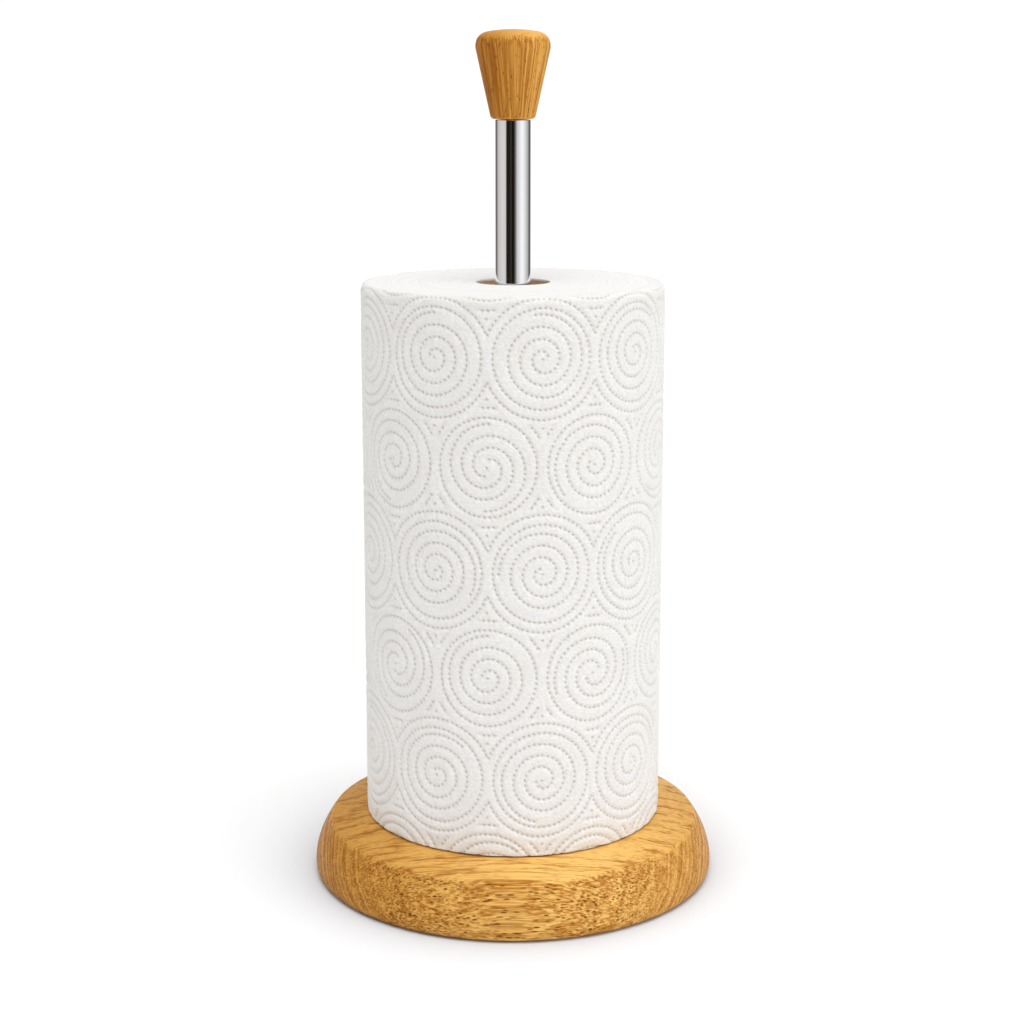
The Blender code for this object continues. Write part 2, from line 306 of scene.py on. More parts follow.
def turned(name, outline, facets, closed=True):
    """A solid of revolution about the Z axis, from an outline that runs down its outer side."""
    profile = np.array(outline)
    angle = np.arange(facets) * math.tau / facets
    points = np.empty((len(profile), facets, 3))
    points[..., 0] = profile[:, :1] * np.cos(angle)
    points[..., 1] = profile[:, :1] * np.sin(angle)
    points[..., 2] = profile[:, 1:]
    obj = surface(name, points, closed_columns=True, closed_rows=closed)
    shape = bmesh.new()
    shape.from_mesh(obj.data)
    bmesh.ops.remove_doubles(shape, verts=shape.verts, dist=0.001 * MM)
    bmesh.ops.recalc_face_normals(shape, faces=shape.faces)
    shape.to_mesh(obj.data)
    shape.free()
    obj.data.set_sharp_from_angle(angle=SMOOTH_BELOW)
    return obj


def cut(obj, cutter):
    """Takes the cutter's shape out of the piece, and removes the cutter."""
    boolean = obj.modifiers.new("cut", "BOOLEAN")
    boolean.object = cutter
    graph = bpy.context.evaluated_depsgraph_get()
    obj.data = bpy.data.meshes.new_from_object(obj.evaluated_get(graph))
    obj.modifiers.clear()
    bpy.data.objects.remove(cutter)


def put(obj, material, body, slot, *nodes):
    """Gives a piece its material and its body, and hides the CAD nodes it stands for. The slot is not
    used.
    """
    obj.data.materials.clear()
    obj.data.materials.append(material)
    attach(obj, body)
    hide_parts(*nodes)


def base_outline():
    """Flat seat, a gentle fall to a crisp rim, a round shoulder, an undercut and the bores."""
    seat_edge = (SEAT_RADIUS, BASE_SEAT_Z)
    rim = (RIM_RADIUS, BASE_SEAT_Z - RIM_DROP)
    shoulder_control = (BASE_RADIUS, SHOULDER_CONTROL_Z)
    widest = (BASE_RADIUS, WIDEST_Z)
    under = (UNDER_RADIUS, BASE_UNDER_Z)
    bend_start = (SEAT_RADIUS - SEAT_BEND, BASE_SEAT_Z)
    bend_end = (SEAT_RADIUS + SEAT_BEND, BASE_SEAT_Z - SEAT_BEND_DROP)
    seat_bend = curve(bend_start, seat_edge, bend_end, 4)
    rim_arc = rounded([(*seat_edge, 0), (*rim, RIM_FILLET), (*shoulder_control, 0)])[1:-1]
    shoulder = curve(rim, shoulder_control, widest, 24)[1:]
    undercut = curve(widest, (BASE_RADIUS, UNDERCUT_CONTROL_Z), under, 8)[1:]
    roof = BASE_UNDER_Z + COUNTERBORE_DEPTH
    floor = BASE_SEAT_Z - SOCKET_DEPTH
    bores = rounded(
        [
            (COUNTERBORE_RADIUS, BASE_UNDER_Z, BORE_EASE),
            (COUNTERBORE_RADIUS, roof, 0),
            (BOLT_HOLE_RADIUS, roof, 0),
            (BOLT_HOLE_RADIUS, floor, 0),
            (SOCKET_RADIUS, floor, 0),
            (SOCKET_RADIUS, BASE_SEAT_Z, BORE_EASE),
            (SEAT_RADIUS, BASE_SEAT_Z, 0),
            (SEAT_RADIUS, BASE_UNDER_Z, 0),
        ],
        segments=3,
    )
    return [*seat_bend, *rim_arc, *shoulder, *undercut, *bores[:-2]]


def make_base(wood):
    base = turned("turned_base", base_outline(), LARGE_FACETS)
    for number in range(1, PADS + 1):
        low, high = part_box(f"foot_pad_{number}")
        radius = (high.x - low.x) / MM / 2 + PAD_CLEARANCE
        roof = high.z / MM + PAD_CLEARANCE
        outline = [(0, roof), (radius, roof), (radius, 0), (0, 0)]
        recess = turned("recess", outline, SMALL_FACETS, closed=False)
        recess.location = ((low.x + high.x) / 2, (low.y + high.y) / 2, 0)
        cut(base, recess)
    base.data.set_sharp_from_angle(angle=SMOOTH_BELOW)
    put(base, wood, "stand", "base_wood", "base_disc")


def knob_outline():
    """Low crown, a full round corner, a straight taper to the post and the blind bore."""
    height = KNOB_TOP_Z - KNOB_Z
    meets_z = (KNOB_RADIUS - KNOB_FOOT_RADIUS) / KNOB_TAPER
    crown_edge = (KNOB_CROWN_RADIUS, height - KNOB_CROWN_DROP)
    widest = (KNOB_RADIUS, KNOB_WIDEST_Z)
    below_waist_z = 2 * meets_z - KNOB_WIDEST_Z
    below_waist = (KNOB_FOOT_RADIUS + KNOB_TAPER * below_waist_z, below_waist_z)
    foot_top = (KNOB_FOOT_RADIUS + KNOB_TAPER * KNOB_FOOT_FILLET, KNOB_FOOT_FILLET)
    foot_end = (KNOB_FOOT_RADIUS - KNOB_FOOT_FILLET, 0)
    crown = curve((0, height), (KNOB_CROWN_RADIUS / 2, height), crown_edge, 10)
    corner = curve(crown_edge, (KNOB_RADIUS, height - 2 * KNOB_CROWN_DROP), widest, 18)
    outline = [
        *crown,
        *corner[1:],
        *curve(widest, (KNOB_RADIUS, meets_z), below_waist, 10)[1:],
        *curve(foot_top, (KNOB_FOOT_RADIUS, 0), foot_end, 8),
        (KNOB_BORE_RADIUS, 0),
        (KNOB_BORE_RADIUS, KNOB_BORE_DEPTH),
        (KNOB_DRILL_RADIUS, KNOB_BORE_DEPTH),
        (KNOB_DRILL_RADIUS, KNOB_DRILL_DEPTH),
        (0, KNOB_DRILL_DEPTH + KNOB_DRILL_RADIUS / 2),
    ]
    return [(radius, z + KNOB_Z) for radius, z in outline]


def make_knob(wood):
    knob = turned("turned_knob", knob_outline(), MEDIUM_FACETS, closed=False)
    put(knob, wood, "stand", "knob_wood", "knob")


def ring(inner, outer, low, high, edge):
    """Outline of a tube whose four edges are rounded."""
    corners = [(outer, high, edge), (outer, low, edge), (inner, low, edge), (inner, high, edge)]
    return rounded(corners, segments=3)


def make_post(chrome):
    outline = ring(TUBE_RADIUS - TUBE_WALL, TUBE_RADIUS, TUBE_BOTTOM_Z, TUBE_TOP_Z, TUBE_EDGE)
    put(turned("chromed_tube", outline, MEDIUM_FACETS), chrome, "stand", "post_chrome", "post_tube")


def make_pads(rubber):
    for number in range(1, PADS + 1):
        low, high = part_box(f"foot_pad_{number}")
        radius = (high.x - low.x) / MM / 2
        top = high.z / MM
        corners = [(0, top, 0), (radius, top, PAD_EDGE), (radius, 0, PAD_EDGE), (0, 0, 0)]
        pad = turned(f"rubber_pad_{number}", rounded(corners), SMALL_FACETS, closed=False)
        pad.location = ((low.x + high.x) / 2, (low.y + high.y) / 2, 0)
        put(pad, rubber, "stand", "foot_rubber", f"foot_pad_{number}")


def make_core(board):
    outline = ring(CORE_RADIUS - CORE_WALL, CORE_RADIUS, CORE_BOTTOM_Z, CORE_TOP_Z, CORE_WALL / 4)
    core = turned("card_core", outline, MEDIUM_FACETS)
    put(core, board, "core", "core_cardboard", "cardboard_core")


# Embossed towels


def smooth_step(value, low, high):
    t = np.clip((value - low) / (high - low), 0, 1)
    return t * t * (3 - 2 * t)


def wander(position, seed, shortest=12.0, longest=90.0):
    """A smooth random curve between about -1 and 1."""
    random = np.random.default_rng(seed)
    total = np.zeros_like(position)
    for _ in range(7):
        wavelength = random.uniform(shortest, longest)
        total += np.sin(math.tau * (position / wavelength + random.random()))
    return total / 4


def evenly(line, spacing):
    """Points along a line about spacing apart, its start among them and its end if it is open."""
    lengths = np.concatenate([[0], np.cumsum(np.hypot(*np.diff(line, axis=0).T))])
    count = max(1, round(lengths[-1] / spacing))
    closed = np.allclose(line[0], line[-1])
    where = np.linspace(0, lengths[-1], count + 1)[: count if closed else count + 1]
    return np.column_stack([np.interp(where, lengths, line[:, axis]) for axis in (0, 1)])


def polar(radius, angle):
    return np.column_stack([radius * np.cos(angle), radius * np.sin(angle)])


def circle(radius):
    return polar(radius, np.linspace(0, math.tau, 361))


def spiral(arms, arm, hand, start):
    """One arm of a spiral whose arms together are one line pitch apart, up to the outer ring."""
    first = SPIRAL_INNER_RADIUS + (arms - 1) * LINE_PITCH / 4
    last = OUTER_RING_RADIUS - SPIRAL_CLEARANCE
    radius = np.linspace(first, last, 720)
    turned_by = (radius - first) / (arms * LINE_PITCH) + arm / arms
    return polar(radius, start + hand * math.tau * turned_by)


def inside_cell(points):
    """How much nearer points are to a motif's centre, the origin, than to the next centre."""
    half = MOTIF_PITCH / 2
    neighbours = [(side * MOTIF_PITCH, 0) for side in (-1, 1)]
    neighbours += [(x, y) for x in (-half, half) for y in (-MOTIF_ROW_PITCH, MOTIF_ROW_PITCH)]
    to_next = np.min([np.hypot(*(points - neighbour).T) for neighbour in neighbours], axis=0)
    return to_next - np.hypot(*points.T)


def motif(row, column, spacing):
    """Points along one motif's lines, round its centre. Even rows draw the rings that rows share."""
    column = (column + MOTIFS_ROUND // 2) % MOTIFS_ROUND - MOTIFS_ROUND // 2
    arms = 2 if (row + 2 * column) % 4 == 1 else 1
    hand = 1 - 2 * ((row + column) % 2)
    start = math.radians(35 + 40 * ((row + 2 * column) % 5))
    lines = [evenly(spiral(arms, arm, hand, start), spacing) for arm in range(arms)]
    lines.append(evenly(circle(OUTER_RING_RADIUS), spacing))
    shared = evenly(circle(SHARED_RING_RADIUS), spacing)
    margin = CORNER_MARGIN if row % 2 else 0
    return np.concatenate([*lines, shared[inside_cell(shared) > margin]])


def pattern(first, last):
    """Dots, and closely spaced points of the grooves, between two lengths along the towels."""
    dots = []
    grooves = []
    corner_height = (MOTIF_ROW_PITCH**2 - MOTIF_PITCH**2 / 4) / (2 * MOTIF_ROW_PITCH)
    corners = [(MOTIF_PITCH / 2, side * corner_height) for side in (1, -1)]
    centre_dots = np.array([(0, 0), *corners])
    lowest = math.floor((first - MOTIF_FIRST_ALONG) / MOTIF_PITCH)
    highest = math.ceil((last - MOTIF_FIRST_ALONG) / MOTIF_PITCH) + 1
    for row in MOTIF_ROWS:
        for column in range(lowest, highest + 1):
            along = MOTIF_FIRST_ALONG + (column - row % 2 / 2) * MOTIF_PITCH
            centre = np.array((along, MOTIF_FIRST_Z - row * MOTIF_ROW_PITCH))
            dots += [centre + centre_dots, centre + motif(row, column, DOT_SPACING)]
            grooves.append(centre + motif(row, column, LINE_STEP))
    return np.concatenate(dots), np.concatenate(grooves)


def nearest(points, places):
    """Number and distance of the point nearest to each place."""
    tree = KDTree(len(points))
    for number, (along, height) in enumerate(points.tolist()):
        tree.insert((along, height, 0), number)
    tree.balance()
    found = [tree.find((along, height, 0))[1:] for along, height in places.tolist()]
    numbers, distances = zip(*found)
    return np.array(numbers), np.array(distances)


def emboss(along, height):
    """Embosses a grid on the flat towel.

    Gives the grid with its nearest points moved onto the dots, its depth, how far down a dot's
    pit each point is, from 0 to 1, and each point's distance to a groove. The grid's first and
    last columns stay where they are, to meet the next towel.
    """
    places = np.column_stack([along.ravel(), height.ravel()])
    dots, grooves = pattern(along.min(), along.max())
    number, distance = nearest(dots, places)
    step = np.array([along[0, 1] - along[0, 0], height[1, 0] - height[0, 0]])
    on_grid = places[0] + np.round((dots - places[0]) / step) * step
    pull = 1 - smooth_step(distance, GRID, 2.2 * GRID)
    pull.reshape(along.shape)[:, [0, -1]] = 0
    places += (dots - on_grid)[number] * pull[:, None]
    distance = np.hypot(*(places - dots[number]).T)
    pit = np.where(distance < DOT_RADIUS, (1 + np.cos(math.pi * distance / DOT_RADIUS)) / 2, 0)
    gap = nearest(grooves, places)[1]
    depth = DOT_DEPTH * pit
    depth += GROOVE_DEPTH * np.exp(-((gap / GROOVE_WIDTH) ** 2))
    depth += QUILT_DEPTH * np.exp(-((gap / QUILT_WIDTH) ** 2))
    return [values.reshape(along.shape) for values in (*places.T, depth, pit, gap)]


def over_rims(height):
    """The towel's way over the roll's rims.

    For a height on the flat towel, gives the inset, the height, which way faces out and up, and
    how far round the rim it is, where 1 is one fillet radius.
    """
    side = np.where(height > (ROLL_TOP_Z + ROLL_BOTTOM_Z) / 2, 1, -1)
    fillet = np.where(side > 0, TOP_FILLET, BOTTOM_FILLET)
    end = np.where(side > 0, ROLL_TOP_Z, ROLL_BOTTOM_Z)
    past = np.maximum(0, (height - end) * side + fillet)
    bend = np.minimum(past / fillet, math.pi / 2)
    lip = past - bend * fillet
    inset = fillet * (1 - np.cos(bend)) + lip
    level = np.where(past > 0, end - side * fillet * (1 - np.sin(bend)), height)
    level -= side * LIP_DIP * smooth_step(lip, LIP / 3, LIP)
    return inset, level, np.cos(bend), side * np.sin(bend), past / fillet


def wrap(along, height, depth, ply):
    """Points of a towel wound on the roll, from places on the flat towel."""
    inset, level, out, up, round_rim = over_rims(height)
    fade = 1 - RIM_FADE * smooth_step(round_rim, 0.3, ROUND_RIM)
    depth = depth * fade
    ragged = RAGGED_LONG * (wander(along, SEED_RAGGED_LONG) - 1)
    ragged = ragged + RAGGED_SHORT * (wander(along, SEED_RAGGED_SHORT, 2.5, 9) - 1)
    level += np.sign(up) * smooth_step(round_rim, 0, ROUND_RIM) * ragged - depth * up
    radius = ROLL_RADIUS - ply - inset - depth * out
    slack = SLACK * (wander(along, SEED_SLACK, 40, 160) - 0.6)
    radius = np.minimum(radius + slack, ROLL_RADIUS)
    angle = along / ROLL_RADIUS
    return np.stack([radius * np.sin(angle), -radius * np.cos(angle), level], axis=-1)


def make_towel(name, first, last, has_tail, paper):
    """An embossed towel of the outermost turn, between two lengths along the strip."""
    columns = np.linspace(first, last, round((last - first) / GRID) + 1)
    top = ROLL_TOP_Z + TOP_FILLET * (math.pi / 2 - 1) + LIP
    bottom = ROLL_BOTTOM_Z - BOTTOM_FILLET * (math.pi / 2 - 1) - LIP
    along, height, depth, pit, gap = emboss(*np.meshgrid(columns, np.arange(top, bottom, -GRID)))
    to_perforation = along - TAIL_START - SHEET_LENGTH
    slit = (height % PERFORATION_PITCH) < PERFORATION_SLIT
    depth += slit * PERFORATION_DEPTH * np.exp(-((to_perforation / PERFORATION_WIDTH) ** 2))
    ply = PLY_STEP * (along - TAIL_START) / (math.tau * ROLL_RADIUS)
    grids = [along, height, depth, ply, pit, gap]
    if has_tail:
        unevenness = 1 + wander(height, SEED_TAIL) / 2
        ply -= TAIL_LIFT * np.exp((TAIL_START - along) / TAIL_REACH) * unevenness
        folded = range(TAIL_COLUMNS, 0, -1)
        grids = [np.concatenate([grid[:, folded], grid], axis=1) for grid in grids]
        grids[3][:, :TAIL_COLUMNS] += SHEET_THICKNESS
    along, height, depth, ply, pit, gap = grids
    towel = surface(name, wrap(along, height, depth, ply))
    attributes = towel.data.attributes
    attributes.new("pit", "FLOAT", "POINT").data.foreach_set("value", pit.ravel())
    attributes.new("gap", "FLOAT", "POINT").data.foreach_set("value", gap.ravel())
    flat = np.stack([along, height, np.zeros_like(along)], axis=-1)
    attributes.new("flat", "FLOAT_VECTOR", "POINT").data.foreach_set("vector", flat.ravel())
    put(towel, paper, "roll", "towel_paper", "paper_roll")


def make_towels(paper):
    perforation = TAIL_START + SHEET_LENGTH
    under_tail = TAIL_START + math.tau * ROLL_RADIUS + TAIL_OVERLAP
    make_towel("towel_sheet_outer", TAIL_START, perforation, True, paper)
    make_towel("towel_sheet_next", perforation, under_tail, False, paper)


def make_windings(edges):
    """The towels wound inside the outermost turn: two end faces, the hole and a hidden side.

    At the top they lap over the end of the core.
    """
    outer = ROLL_RADIUS - EMBOSS_DEPTH - 2 * PLY_STEP
    top = ROLL_TOP_Z - END_RECESS
    bottom = ROLL_BOTTOM_Z + END_RECESS / 2
    mouth = rounded(
        [
            (outer, top, 0),
            (outer, bottom, 0),
            (HOLE_RADIUS, bottom, HOLE_FILLET),
            (HOLE_RADIUS, CORE_TOP_Z + MOUTH_LIFT, 0),
            (MOUTH_RADIUS, CORE_TOP_Z + MOUTH_LIFT, MOUTH_FILLET),
            (MOUTH_RADIUS, top, HOLE_FILLET),
        ],
        segments=8,
    )
    steps = round((outer - HOLE_RADIUS) / WINDING_GRID)
    inwards = np.linspace(outer, HOLE_RADIUS + HOLE_FILLET, steps)
    outwards = np.linspace(MOUTH_RADIUS + HOLE_FILLET, outer, steps)
    bottom_face = [(radius, bottom) for radius in inwards[1:-1]]
    top_face = [(radius, top) for radius in outwards[1:-1]]
    outline = np.array([mouth[0], mouth[1], *bottom_face, *mouth[2:], *top_face])
    angle = np.arange(WINDING_FACETS) * math.tau / WINDING_FACETS
    radius = outline[:, :1] + 0 * angle
    level = outline[:, 1:] + 0 * angle
    bundle = radius / WINDING_BUNDLE - angle / math.tau
    within = bundle % 1
    strip = bundle - within + angle / math.tau
    rise = (1 - within) * wander(strip, SEED_WINDINGS, 0.8, 6)
    rise = rise + within * wander(strip + 1, SEED_WINDINGS, 0.8, 6)
    at_rim = smooth_step(radius, HOLE_RADIUS, HOLE_RADIUS + 2 * HOLE_FILLET)
    level -= WINDING_RISE * (1 - rise) * at_rim * np.sign(level - ROLL_BOTTOM_Z - EMBOSS_DEPTH)
    points = np.stack([radius * np.cos(angle), radius * np.sin(angle), level], axis=-1)
    windings = surface("towel_windings", points, closed_columns=True, closed_rows=True)
    windings.data.set_sharp_from_angle(angle=SMOOTH_BELOW)
    put(windings, edges, "roll", "towel_paper", "paper_roll")


# Materials


def shade(red, green, blue):
    """Linear colour of a display colour given from 0 to 255."""
    display = np.array([red, green, blue]) / 255
    linear = np.where(display <= 0.04045, display / 12.92, ((display + 0.055) / 1.055) ** 2.4)
    return (*linear.tolist(), 1.0)


class Recipe:
    """A material with one Principled shader, and short ways to add the nodes that feed it."""

    def __init__(self, name, **settings):
        self.material = bpy.data.materials.new(name)
        self.material.use_nodes = True
        self.tree = self.material.node_tree
        self.shader = self.tree.nodes["Principled BSDF"]
        for socket, value in settings.items():
            self.shader.inputs[socket.replace("_", " ")].default_value = value
        place = self.add("TexCoord", {}, output="Object")
        self.place = self.scaled(place, 1 / MM, 1 / MM, 1 / MM)

    def add(self, kind, feeds, output=0, **settings):
        """A new node with some sockets fed, by name or number, and one of its outputs."""
        node = self.tree.nodes.new("ShaderNode" + kind)
        for name, value in settings.items():
            setattr(node, name, value)
        for socket, value in feeds.items():
            self.feed(node.inputs[socket], value)
        return node.outputs[output]

    def feed(self, socket, value):
        if isinstance(value, bpy.types.NodeSocket):
            self.tree.links.new(value, socket)
        else:
            socket.default_value = value

    def paint(self, **feeds):
        """Feeds the shader's own sockets."""
        for socket, value in feeds.items():
            self.feed(self.shader.inputs[socket.replace("_", " ")], value)
        return self.material

    def math(self, operation, *values):
        return self.add("Math", dict(enumerate(values)), operation=operation)

    def mixed(self, factor, first, second):
        return self.add("Mix", {0: factor, 2: first, 3: second}, data_type="FLOAT")

    def scaled(self, vector, x, y, z):
        return self.add("VectorMath", {0: vector, 1: (x, y, z)}, operation="MULTIPLY")

    def split(self, vector):
        return self.add("SeparateXYZ", {"Vector": vector}).node.outputs

    def joined(self, x, y, z):
        return self.add("CombineXYZ", {"X": x, "Y": y, "Z": z})

    def ramp(self, value, low, high, to_low=0.0, to_high=1.0):
        feeds = {"Value": value, "From Min": low, "From Max": high, "To Min": to_low, "To Max": to_high}
        return self.add("MapRange", feeds, interpolation_type="SMOOTHSTEP")

    def noise(self, vector, scale=1.0, detail=2.0, roughness=0.5, output="Fac"):
        feeds = {"Vector": vector, "Scale": scale, "Detail": detail, "Roughness": roughness}
        return self.add("TexNoise", feeds, output)

    def noise_along(self, length, scale=1.0, detail=2.0, roughness=0.5):
        feeds = {"W": length, "Scale": scale, "Detail": detail, "Roughness": roughness}
        return self.add("TexNoise", feeds, noise_dimensions="1D")

    def blend(self, factor, first, second, blend_type="MIX"):
        feeds = {0: factor, 6: first, 7: second}
        return self.add("Mix", feeds, output=2, data_type="RGBA", blend_type=blend_type)

    def bump(self, height, depth, normal=None):
        """A bump whose height of 1 stands for the given depth in millimetres."""
        feeds = {"Height": height, "Distance": depth * MM, "Strength": 1.0}
        if normal is not None:
            feeds["Normal"] = normal
        return self.add("Bump", feeds)


def make_wood(name, grain, pith, colours, bend, fineness, pores, lightest, painted_top_light, taper=None):
    """Oiled hardwood: growth bands round a pith, fibre streaks, fine dark lines and long pores.

    The grain is the axis the fibres run along, and the pith is a place across it. The colours
    are the palest wood's, the darkest wood's and the pores'. The bend is how far the fibres
    wander, and over which length and width. The pores have a length, a spacing and a size, and
    the strength of the lines among them. As painted shade, the wood is lightest at one X, its lit
    side, and darkest at a reach from there. As painted light, the top above two heights is paler,
    with fewer pores and lines, and has two shifts of its tone. A taper, with its lowest and
    highest places and its lowest width, makes the grain follow a tapered side.
    """
    light, dark, pore = colours
    pore_length, pore_spacing, pore_size, line_strength = pores
    wood = Recipe(name, Specular_IOR_Level=0.08)
    x, y, z = wood.split(wood.place)
    along, across, up = (x, y, z) if grain == "X" else (z, x, y)
    if taper is not None:
        lowest, highest, narrowest = taper
        feeds = {"Value": z, "From Min": lowest, "From Max": highest, "To Min": narrowest}
        width = wood.add("MapRange", feeds)
        across = wood.math("DIVIDE", across, width)
        up = wood.math("DIVIDE", up, width)

    def stretched(figure, fineness=1.0):
        length, width = figure
        width = width * fineness
        return wood.scaled(wood.joined(along, across, up), 1 / length, 1 / width, 1 / width)

    wander_by, *bend_size = bend
    bent = wood.split(wood.noise(stretched(bend_size), 1, 2, 0.5, "Color"))
    across = wood.math("ADD", across, wood.ramp(bent[0], 0, 1, -wander_by, wander_by))
    up = wood.math("ADD", up, wood.ramp(bent[1], 0, 1, -wander_by, wander_by))
    sideways = wood.math("SUBTRACT", across, pith[0])
    upwards = wood.math("SUBTRACT", up, pith[1])
    squared = wood.math("MULTIPLY_ADD", sideways, sideways, wood.math("MULTIPLY", upwards, upwards))
    bands = wood.noise_along(wood.math("SQRT", squared), 1 / GROWTH_BAND, 4, 0.7)
    broad = wood.noise(stretched(BROAD_FIGURE, fineness), 1, 3)
    streaks = wood.noise(stretched(STREAKS, fineness), 1, 3, 0.6)
    fibres = wood.noise(stretched(FIBRES, fineness), 1, 1, 0.5)
    broad_share, streak_share, fibre_share = FIGURE_SHARES
    fibrous = wood.math("MULTIPLY", broad, broad_share)
    fibrous = wood.math("MULTIPLY_ADD", streaks, streak_share, fibrous)
    fibrous = wood.math("MULTIPLY_ADD", fibres, fibre_share, fibrous)
    facing = wood.split(wood.add("NewGeometry", {}, "Normal"))[0 if grain == "X" else 2]
    end_grain = wood.ramp(wood.math("ABSOLUTE", facing), *END_GRAIN_FACING)
    tone = wood.mixed(wood.ramp(end_grain, 0, 1, 0.16, 0.42), fibrous, bands)
    # Painted light: above two heights the top is painted paler in patches, and its pores and lines
    # fade.
    top_light_from, top_light_to, palest, darkest = painted_top_light
    painted_top_light = wood.ramp(z, top_light_from, top_light_to)
    patches = wood.noise(stretched(TOP_LIGHT_PATCHES), 1, 3, 0.6)
    shift = wood.ramp(patches, 0.3, 0.7, palest, darkest)
    tone = wood.math("MULTIPLY_ADD", painted_top_light, shift, tone)
    colour = wood.blend(wood.ramp(tone, 0.38, 0.62), light, dark)

    lines = wood.noise(stretched(DARK_LINES), 1, 2, 0.5)
    lines = wood.ramp(lines, 0.5, 0.62, 0.0, line_strength)
    for hiding, least in ((painted_top_light, 0.5), (end_grain, 0.3)):
        lines = wood.math("MULTIPLY", lines, wood.ramp(hiding, 0.0, 1.0, 1.0, least))
    colour = wood.blend(lines, colour, pore)

    place = stretched((pore_length, pore_spacing))
    cells = {"Vector": place, "Scale": 1.0, "Randomness": 1.0}
    distance = wood.add("TexVoronoi", cells, "Distance")
    chance = wood.split(wood.add("TexVoronoi", cells, "Color"))
    size = wood.ramp(chance[0], 0.0, 1.0, pore_size * 0.8, pore_size)
    in_pore = wood.ramp(wood.math("SUBTRACT", distance, size), -0.12, 0.02, 1.0, 0.0)
    strength = wood.ramp(chance[1], 0.0, 0.8, 0.55, 1.0)
    for hiding, least in ((painted_top_light, 0.3), (end_grain, 0.25)):
        strength = wood.math("MULTIPLY", strength, wood.ramp(hiding, 0.0, 1.0, 1.0, least))
    in_pore = wood.math("MULTIPLY", in_pore, strength)
    colour = wood.blend(in_pore, colour, pore)

    # Painted shade: the colour takes the tint away from the X of the lit side.
    lightest_x, darkest_reach = lightest
    away = wood.math("ABSOLUTE", wood.math("SUBTRACT", x, lightest_x))
    colour = wood.blend(wood.ramp(away, 0.0, darkest_reach), colour, PAINTED_SIDE_SHADE, "MULTIPLY")

    roughness = wood.ramp(tone, 0.4, 0.6, 0.38, 0.5)
    roughness = wood.math("MULTIPLY_ADD", in_pore, 0.2, roughness)
    normal = wood.bump(fibres, 0.08)
    normal = wood.bump(wood.math("SUBTRACT", 1.0, in_pore), 0.15, normal)
    return wood.paint(Base_Color=colour, Roughness=roughness, Normal=normal)


def make_paper():
    """Soft white tissue: creped across the sheet, with painted shade in the crepe's valleys; a little
    warmer and darker in the pits, partly pressed paper and partly painted shade.
    """
    paper = Recipe("towel_paper", Roughness=0.92, Specular_IOR_Level=0.15, Sheen_Weight=0.15)
    flat = paper.add("Attribute", {}, "Vector", attribute_name="flat")
    pit = paper.add("Attribute", {}, "Fac", attribute_name="pit")
    gap = paper.add("Attribute", {}, "Fac", attribute_name="gap")
    along, height, _ = paper.split(flat)
    slanted = paper.math("MULTIPLY_ADD", along, CREPE_SLANT, height)
    rib_length, rib_width = CREPE_RIB
    across_ribs = paper.math("DIVIDE", slanted, rib_width)
    ribs = paper.joined(across_ribs, paper.math("DIVIDE", along, rib_length), 0)
    crepe = paper.noise(ribs, 1, 2, 0.5)
    fuzz = paper.noise(flat, 5.0, 3, 0.7)
    clouds = paper.noise(flat, 0.06, 3, 0.6)
    colour = paper.blend(paper.ramp(clouds, 0.3, 0.7), shade(246, 245, 243), shade(243, 241, 238))
    # Painted shade: the colour darkens in the crepe's valleys.
    colour = paper.blend(paper.ramp(crepe, 0.38, 0.58, 0.55, 0), colour, shade(226, 223, 218))
    # The pits' warmer, darker colour is partly pressed paper and partly painted shade.
    colour = paper.blend(pit, colour, shade(202, 195, 186))
    normal = paper.bump(crepe, CREPE_DEPTH)
    normal = paper.bump(paper.ramp(gap, CREASE_INNER, CREASE_OUTER), CREASE_DEPTH, normal)
    normal = paper.bump(fuzz, 0.03, normal)
    return paper.paint(Base_Color=colour, Normal=normal)


def make_edges():
    """The towels' wound edges: each turn of the strip a fine line, some turns proud of others, with
    painted shade between turns and painted light on proud ones.
    """
    edges = Recipe("towel_edges", Roughness=0.95, Specular_IOR_Level=0.1)
    x, y, _ = edges.split(edges.place)
    turn = edges.math("DIVIDE", edges.math("ARCTAN2", y, x), math.tau)
    radius = edges.math("SQRT", edges.math("MULTIPLY_ADD", x, x, edges.math("MULTIPLY", y, y)))
    wound = edges.math("SUBTRACT", edges.math("DIVIDE", radius, PLY_STEP), turn)
    within = edges.math("FRACT", wound)
    strip = edges.math("ADD", edges.math("SUBTRACT", wound, within), turn)
    uneven = edges.noise_along(strip, 0.35, 3, 0.7)
    layer = edges.math("MULTIPLY", within, edges.math("SUBTRACT", 1.0, within))
    ply = edges.math("MULTIPLY_ADD", layer, 2.0, uneven)
    fuzz = edges.noise(edges.place, 3.0, 3, 0.7)
    # Painted shade and light: darker where turns meet, lighter where a turn stands proud.
    colour = edges.blend(edges.ramp(ply, 0.3, 0.95), shade(222, 218, 213), shade(250, 249, 248))
    normal = edges.bump(ply, 0.16)
    normal = edges.bump(fuzz, 0.06, normal)
    return edges.paint(Base_Color=colour, Normal=normal)


